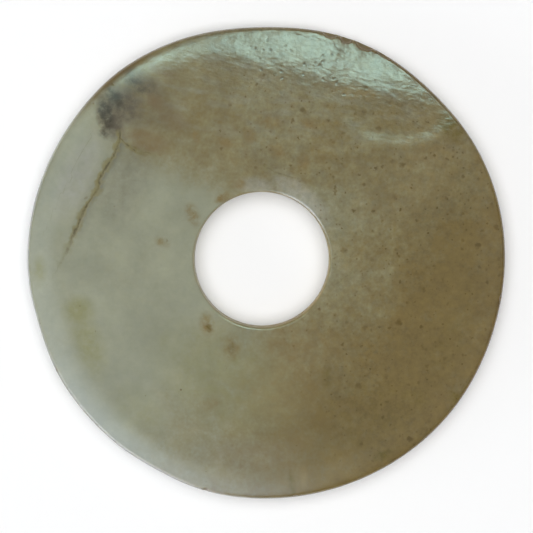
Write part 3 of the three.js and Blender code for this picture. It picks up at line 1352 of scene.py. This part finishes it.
        patchy = graph.noise(place, self.patchy_size, 4.0, 0.62).outputs["Fac"]
        uneven = graph.span(patchy, 0.3, 0.7, -1.0, 1.0, eased=False)
        for tone in Tone:
            ragged = graph.math("MULTIPLY_ADD", uneven, tone.raggedness, 1.0)
            stained = graph.math("MULTIPLY", graph.mark(tone.mark), ragged)
            colour = graph.blend(graph.span(stained, 0.06, 0.95, eased=False), colour, tone.value)

        speckled = self.speckled(graph, place)
        scarce = graph.span(graph.math("MULTIPLY", russet, speckled), 0.05, 0.6, 1.25, 0.45)
        for size, cell in self.speck_sizes:
            colour = graph.blend(self.specks(graph, place, scarce, size, cell), colour, self.speck)
        marks = (
            # Painted shade beside the fissure.
            ("dim_band", 0.95, self.dim_band),
            ("bore_skin", 0.85, self.bore_skin),
            ("rim_skin", 0.9, self.rim_skin),
            # Painted glow on the left rim's edge.
            ("rim_glow", 0.8, self.rim_glow),
            ("scar", 0.9, self.scar),
            ("pit", 0.75, self.pit),
        )
        for name, share, tone in marks:
            colour = graph.blend(graph.math("MULTIPLY", graph.mark(name), share), colour, tone)
        for crack in CRACKS:
            colour = self.crack_colour(graph, place, crack, colour)

        flecks = graph.noise(place, self.fleck_size, 5.0, 0.7).outputs["Fac"]
        flecks = graph.span(flecks, 0.3, 0.7, *self.fleck_shades, eased=False)
        colour = graph.blend(graph.span(speckled, 0.0, 1.0, 0.25, 1.0), colour, flecks, mode="MULTIPLY")
        clouds = graph.noise(place, self.cloud_size, 4.0, 0.55).outputs["Fac"]
        clouds = graph.span(clouds, 0.25, 0.75, *self.cloud_shades, eased=False)
        return graph.blend(1.0, colour, clouds, mode="MULTIPLY")

    def bump(self, graph: Graph, place: object) -> bpy.types.NodeSocket:
        """The finest unevenness: brushed hairlines and grain.

        Args:
            graph: The finish's node tree.
            place: The socket of the place on the stone, in millimetres.

        Returns:
            The normal's socket.
        """
        turned = graph.turned(place, self.hairline_turn, self.hairline_size)
        hairlines = graph.noise(turned, 1.0).outputs["Fac"]
        grains = graph.noise(place, self.grain_size).outputs["Fac"]
        height = graph.math("MULTIPLY", grains, self.grain_share)
        height = graph.math("MULTIPLY_ADD", hairlines, 1 - self.grain_share, height)
        upwards = graph.vector("DOT_PRODUCT", place, (*towards(self.sawn_direction), 0.0))
        sawn = graph.span(upwards, *self.sawn_from_to, self.calm_share, 1.0)
        height = graph.math("MULTIPLY", height, sawn)
        values = {"Strength": 1.0, "Distance": self.bump_height * MM, "Height": height}
        return graph.add("ShaderNodeBump", values).outputs["Normal"]

    def roughness(self, graph: Graph, place: object) -> bpy.types.NodeSocket:
        """The polish, a little uneven, and duller in the scars of the rim and on the drilled wall.

        Args:
            graph: The finish's node tree.
            place: The socket of the place on the stone, in millimetres.

        Returns:
            The roughness's socket.
        """
        worn = graph.noise(place, 1.8, 3.0).outputs["Fac"]
        polished = graph.span(worn, 0.3, 0.7, self.polish_roughness, self.matt_roughness)
        rough = graph.math("MAXIMUM", graph.mark("scar"), graph.mark("bore_skin"))
        return graph.span(rough, 0.0, 1.0, polished, self.scar_roughness)

    def build(self, name: str, middle: Array, gloss: float) -> bpy.types.Material:
        """Builds the finish.

        Args:
            name: The material's name.
            middle: The row's origin, in millimetres from the middle that the rim was ground round.
            gloss: Its specular level.

        Returns:
            The material.
        """
        material = bpy.data.materials.new(name)
        material.use_nodes = True
        tree = material.node_tree
        tree.nodes.clear()
        graph = Graph(tree)
        coordinates = graph.add("ShaderNodeTexCoord")
        place = graph.add("ShaderNodeMapping", {"Vector": coordinates.outputs["Object"]})
        place.inputs["Scale"].default_value = (1 / MM,) * 3
        place.inputs["Location"].default_value = (*middle, 0.0)
        place = place.outputs["Vector"]
        shader = graph.add(
            "ShaderNodeBsdfPrincipled",
            {
                "Base Color": self.colour(graph, place),
                "Roughness": self.roughness(graph, place),
                "Normal": self.bump(graph, place),
                "IOR": self.refraction,
                "Specular IOR Level": gloss,
                "Subsurface Weight": self.scatter_share,
                "Subsurface Radius": self.scatter_depth,
                "Subsurface Scale": self.scatter_scale,
            },
        )
        graph.add("ShaderNodeOutputMaterial", {"Surface": shader})
        return material


@dataclass
class BiDisc:
    """The whole disc: its ring, its hand-worked form, its wear and its finish."""

    form: DiscForm = field(default_factory=DiscForm)
    polish: Polish = field(default_factory=Polish)
    pitting: Pitting = field(default_factory=Pitting)
    finish: NephriteFinish = field(default_factory=NephriteFinish)

    rim_browned: tuple[Sector, ...] = (
        Sector(58.0, 19.0),
        Sector(129.0, 12.0, 0.9),
        Sector(-10.0, 50.0, 0.45),
    )
    # Where the painted glow lies on the rim's edge, and how far in it reaches.
    painted_glow_sectors: tuple[Sector, ...] = (Sector(180.0, 32.0), Sector(238.0, 30.0))
    glow_from_to: tuple[float, float] = (1.3, 0.3)
    bore_browned: Sector = Sector(320.0, 60.0, 0.45)
    bore_brown_least: float = 0.55
    skin_reach: float = 2.3
    skin_raggedness: float = 0.4
    skin_grain_size: float = 2.2
    skin_width: float = 6.0
    polished_gloss: float = 0.5
    drilled_gloss: float = 0.1
    slope_refined: float = -4.0
    crack_refined: float = 1.3
    flake_margin: float = 0.9

    def needs_detail(self, places: Array) -> Array:
        """Whether each place lies where the mesh has to be finer, on the face or the upper rim.

        Args:
            places: Points of the stone, one row each.

        Returns:
            True or false for each.
        """
        form = self.form
        on_top = places[:, 2] > form.thickness / 2 - 1
        detailed = form.past_slope_edge(places) > self.slope_refined
        for crack in CRACKS:
            detailed |= np.abs(crack.follow(places)[0]) < self.crack_refined
        for flake in form.flakes:
            edge = towards(flake.direction, form.outline(np.array([flake.direction]))[0])
            reach = flake.length / 2 + self.flake_margin
            detailed |= np.hypot(*(places[:, :2] - edge).T) < reach
        return detailed & on_top

    def refine(self, ring: bpy.types.Mesh) -> None:
        """Halves the faces of the ring's mesh where its form needs detail.

        Args:
            ring: The true ring's mesh, in millimetres.
        """
        bm = bmesh.new()
        bm.from_mesh(ring)
        middles = np.array([face.calc_center_median()[:] for face in bm.faces])
        chosen = self.needs_detail(self.form.work_by_hand(middles))
        edges = {edge for face, wanted in zip(bm.faces, chosen) if wanted for edge in face.edges}
        bmesh.ops.subdivide_edges(bm, edges=list(edges), cuts=1, use_grid_fill=True)
        bmesh.ops.triangulate(bm, faces=bm.faces[:])
        bmesh.ops.recalc_face_normals(bm, faces=bm.faces[:])
        bm.to_mesh(ring)
        bm.free()

    def rim_skin(self, places: Array) -> Array:
        """Where the brown skin of the stone was left on the rim, from 0 to 1.

        Args:
            places: Points of the stone, one row each.

        Returns:
            One share each.
        """
        form = self.form
        directions = directions_of(places)
        strength = np.max([sector.share(directions) for sector in self.rim_browned], axis=0)
        reach = self.skin_reach * (0.35 + strength)
        ragged = self.skin_raggedness * grain(places, (self.skin_grain_size,) * 3, 23.9)
        from_edge = form.from_rim(places) + ragged
        below = smooth_step(form.thickness - form.face_drop(places) - places[:, 2], 0.25, 1.2)
        on_side = below * (from_edge < self.skin_width)
        return strength * np.maximum(smooth_step(from_edge / reach, 1.0, 0.35), on_side)

    def bore_skin(self, places: Array) -> Array:
        """Where the wall of the hole is browned, most on its lower right, from 0 to 1.

        Args:
            places: Points of the stone, one row each.

        Returns:
            One share each.
        """
        form = self.form
        offset = places[:, :2] - towards(form.hole_direction, form.hole_distance)
        directions = directions_of(offset)
        inwards = form.hole_radius + form.front_taper + 0.7 * form.front_lip - np.hypot(*offset.T)
        strength = self.bore_brown_least + self.bore_browned.share(directions)
        return strength * smooth_step(inwards, 0.0, 0.9)

    def rim_glow(self, places: Array) -> Array:
        """Where the rim's edge is painted lighter on its left, a painted glow for light through the thin
        edge, from 0 to 1.
        """
        strength = np.max([sector.share(directions_of(places)) for sector in self.painted_glow_sectors], axis=0)
        return strength * smooth_step(self.form.from_rim(places), *self.glow_from_to)

    def write(self, mesh: bpy.types.Mesh, marks: Mapping[str, Array]) -> None:
        """Stores named values on the mesh's vertices.

        Args:
            mesh: The mesh.
            marks: One value for each vertex, under each name.
        """
        for name, values in marks.items():
            attribute = mesh.attributes.new(name, "FLOAT", "POINT")
            attribute.data.foreach_set("value", values.astype(np.float32))

    def shape(self, ring: bpy.types.Mesh) -> None:
        """Works the true ring into the stone, and marks where its finish changes.

        Args:
            ring: The true ring's mesh, in millimetres.
        """
        form = self.form
        places = form.work_by_hand(places_of(ring))
        on_face = smooth_step(places[:, 2], form.thickness / 2, form.thickness / 2 + 1.5)
        lowered = sum(crack.groove(places) for crack in CRACKS)
        marks = {
            # Painted shade beside the fissure.
            "dim_band": on_face * np.max([crack.shade(places) for crack in CRACKS], axis=0),
            "rim_skin": self.rim_skin(places),
            "bore_skin": self.bore_skin(places),
            # Painted glow on the left rim's edge.
            "rim_glow": self.rim_glow(places),
            "pitted": on_face * self.pitting.share(places),
        }
        marks.update(self.finish.stain_shares(places))
        for crack in CRACKS:
            marks.update(crack.marks(places))
            marks[crack.name + "_open"] *= on_face
        places[:, 2] += on_face * (self.polish.height(form, places) - lowered)
        places, marks["scar"] = form.strike(places)
        ring.vertices.foreach_set("co", places.ravel())
        self.write(ring, marks)
        ring.update()

    def leave_matt(self, stone: bpy.types.Mesh, drilled: bpy.types.Material) -> None:
        """Gives the drilled wall of the hole its own finish, on a mesh in millimetres.

        Args:
            stone: The mesh.
            drilled: The wall's finish.
        """
        form = self.form
        stone.materials.append(drilled)
        middles = np.empty(len(stone.polygons) * 3)
        stone.polygons.foreach_get("center", middles)
        middles = middles.reshape(-1, 3)
        from_axis = np.hypot(*(middles[:, :2] - towards(form.hole_direction, form.hole_distance)).T)
        on_wall = from_axis < form.hole_radius + form.front_taper + 0.25 * form.front_lip
        stone.polygons.foreach_set("material_index", on_wall.astype(np.int32))

    def build(self) -> bpy.types.Object:
        """Builds the disc and gives it its place, body and finish.

        Returns:
            The finished piece.
        """
        middle = self.form.middle_of_box()
        polished = self.finish.build("polished_nephrite", middle, self.polished_gloss)
        drilled = self.finish.build("drilled_nephrite", middle, self.drilled_gloss)
        ring = RingSweep(self.form).build(polished)
        self.refine(ring)
        self.shape(ring)
        stone = self.pitting.sink(ring, polished)
        self.leave_matt(stone, drilled)

        lowest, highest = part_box(NODE)
        places = places_of(stone)
        places[:, :2] -= middle
        places *= MM
        places[:, 2] += lowest.z
        stone.vertices.foreach_set("co", places.ravel())
        stone.shade_smooth()
        stone.update()
        self.check(stone, lowest, highest)

        piece = bpy.data.objects.new("jade_disc", stone)
        bpy.context.scene.collection.objects.link(piece)
        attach(piece, BODY)
        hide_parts(NODE)
        return piece

    def check(self, stone: bpy.types.Mesh, lowest: Vector, highest: Vector) -> None:
        """Reports how the mesh stands to the solid, and whether it is closed.

        Args:
            stone: The finished mesh, in metres.
            lowest: The solid's lowest corner.
            highest: Its highest corner.
        """
        places = places_of(stone) / MM
        bm = bmesh.new()
        bm.from_mesh(stone)
        loose = sum(1 for edge in bm.edges if len(edge.link_faces) != 2)
        volume = bm.calc_volume(signed=True) / MM**3
        faces = len(bm.faces)
        bm.free()
        log.info("jade_disc: %d triangles, %d open edges, %.1f cm3", faces, loose, volume / 1000)
        log.info("mesh box %s to %s", places.min(axis=0).round(2), places.max(axis=0).round(2))
        log.info("solid box %s to %s", np.round(lowest[:], 5) / MM, np.round(highest[:], 5) / MM)


@dataclass(frozen=True)
class Softbox:
    """A rectangular light that faces the disc from a direction, a lean from the zenith and a distance."""

    name: str
    direction: float
    lean: float
    distance: float
    width: float
    height: float
    radiance: float
    tint: Colour = (1.0, 1.0, 1.0)
    turn: float = 0.0
    lights_surfaces: bool = True
    shows_in_polish: bool = True

    def build(self, aim: Vector) -> bpy.types.Object:
        """Hangs the light in the studio, facing the aim.

        Args:
            aim: The place that the light faces.

        Returns:
            The light.
        """
        data = bpy.data.lights.new(self.name, "AREA")
        data.shape = "RECTANGLE"
        data.size = self.width
        data.size_y = self.height
        data.color = self.tint
        data.energy = self.radiance * math.pi * self.width * self.height
        light = bpy.data.objects.new(self.name, data)
        lean = math.radians(self.lean)
        level = towards(self.direction, math.sin(lean))
        away = Vector((level[0], level[1], math.cos(lean)))
        light.location = aim + away * self.distance
        facing = away.to_track_quat("Z", "Y") @ Quaternion((0.0, 0.0, 1.0), math.radians(self.turn))
        light.rotation_euler = facing.to_euler()
        light.visible_camera = False
        light.visible_diffuse = self.lights_surfaces
        light.visible_glossy = self.shows_in_polish
        bpy.context.scene.collection.objects.link(light)
        return light


@dataclass(frozen=True)
class Studio:
    """A pale floor, a dim room, soft lights and a camera almost straight above the disc."""

    floor_size: float = 6.0
    floor_gap: float = 0.00005
    floor_colour: Colour = (0.95, 0.95, 0.95)
    room_radiance: float = 0.18

    camera_distance: float = 0.65
    camera_tilt: float = 4.0
    frame_width: float = 189.7 * MM
    sensor_width: float = 36.0
    aim_back: float = 1.1 * MM

    softboxes: tuple[Softbox, ...] = (
        Softbox("ceiling", 100.0, 6.0, 1.5, 2.2, 2.2, 2.05, shows_in_polish=False),
        Softbox("tall_window", 72.0, 27.5, 1.2, 0.24, 0.5, 9.6, (0.62, 1.0, 0.9), 18.0, False),
        Softbox("curtain", 97.0, 26.0, 1.2, 0.26, 0.62, 1.9, (0.62, 1.0, 0.92), -7.0, False),
        Softbox("left_pane", 120.0, 21.0, 1.2, 0.19, 0.08, 20.0, (0.62, 1.0, 0.92), 0.0, False),
        Softbox("left_wall", 198.0, 27.5, 1.2, 0.62, 0.6, 1.6, (0.78, 0.92, 1.0), 0.0, False),
        Softbox("right_wall", 355.0, 26.0, 1.2, 1.0, 0.6, 0.3, (1.0, 0.97, 0.9), 0.0, False),
        Softbox("near_wall", 243.0, 32.0, 1.2, 0.64, 0.42, 2.6, (0.57, 0.74, 1.0), 0.0, False),
        Softbox("near_window", 264.0, 25.0, 1.2, 0.38, 0.38, 1.4, (0.8, 1.0, 0.9), 6.0, False),
        Softbox("low_window", 232.0, 58.0, 1.2, 0.9, 0.7, 9.0, (0.82, 0.84, 1.0), 0.0, False),
        Softbox("rim_light", 208.0, 80.0, 1.2, 1.4, 0.3, 4.0, (0.9, 0.95, 1.0), 0.0, True, False),
    )

    def floor(self) -> bpy.types.Object:
        """Lays the pale floor that the disc lies on.

        Returns:
            The floor.
        """
        half = self.floor_size / 2
        corners = [(-half, -half), (half, -half), (half, half), (-half, half)]
        mesh = bpy.data.meshes.new("floor")
        mesh.from_pydata([(x, y, -self.floor_gap) for x, y in corners], [], [(0, 1, 2, 3)])
        material = bpy.data.materials.new("floor_paper")
        material.use_nodes = True
        shader = material.node_tree.nodes["Principled BSDF"]
        shader.inputs["Base Color"].default_value = (*self.floor_colour, 1.0)
        shader.inputs["Roughness"].default_value = 1.0
        shader.inputs["Specular IOR Level"].default_value = 0.0
        mesh.materials.append(material)
        floor = bpy.data.objects.new("floor", mesh)
        bpy.context.scene.collection.objects.link(floor)
        return floor

    def room(self) -> None:
        """Gives the room its dim, even light."""
        world = bpy.data.worlds.new("room")
        world.use_nodes = True
        background = world.node_tree.nodes["Background"]
        background.inputs["Color"].default_value = (1.0, 1.0, 1.0, 1.0)
        background.inputs["Strength"].default_value = self.room_radiance
        bpy.context.scene.world = world

    def camera(self, aim: Vector) -> bpy.types.Object:
        """Sets the camera above the aim, a little to its far side, with +Y up in the picture.

        Args:
            aim: The place that the camera looks at.

        Returns:
            The camera.
        """
        data = bpy.data.cameras.new("camera")
        data.sensor_width = self.sensor_width
        data.lens = self.sensor_width * self.camera_distance / self.frame_width
        camera = bpy.data.objects.new("camera", data)
        tilt = math.radians(self.camera_tilt)
        camera.location = aim + self.camera_distance * Vector((0.0, math.sin(tilt), math.cos(tilt)))
        camera.rotation_euler = (-tilt, 0.0, 0.0)
        bpy.context.scene.collection.objects.link(camera)
        bpy.context.scene.camera = camera
        return camera

    def build(self, form: DiscForm) -> None:
        """Sets up the studio round the disc.

        Args:
            form: The disc's form, for where the camera aims.
        """
        middle = -form.middle_of_box() * MM
        aim = Vector((middle[0], middle[1] - self.aim_back, form.thickness * MM))
        self.camera(aim)
        self.floor()
        self.room()
        for softbox in self.softboxes:
            softbox.build(aim)
        bpy.context.scene.view_settings.view_transform = "Standard"


def main() -> None:
    """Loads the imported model, then builds the studio and the disc."""
    logging.basicConfig(level=logging.INFO, format="%(message)s")
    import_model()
    disc = BiDisc()
    Studio().build(disc.form)
    piece = disc.build()
    log.info("%s stands for %s", piece.name, NODE)


if __name__ == "__main__":
    main()
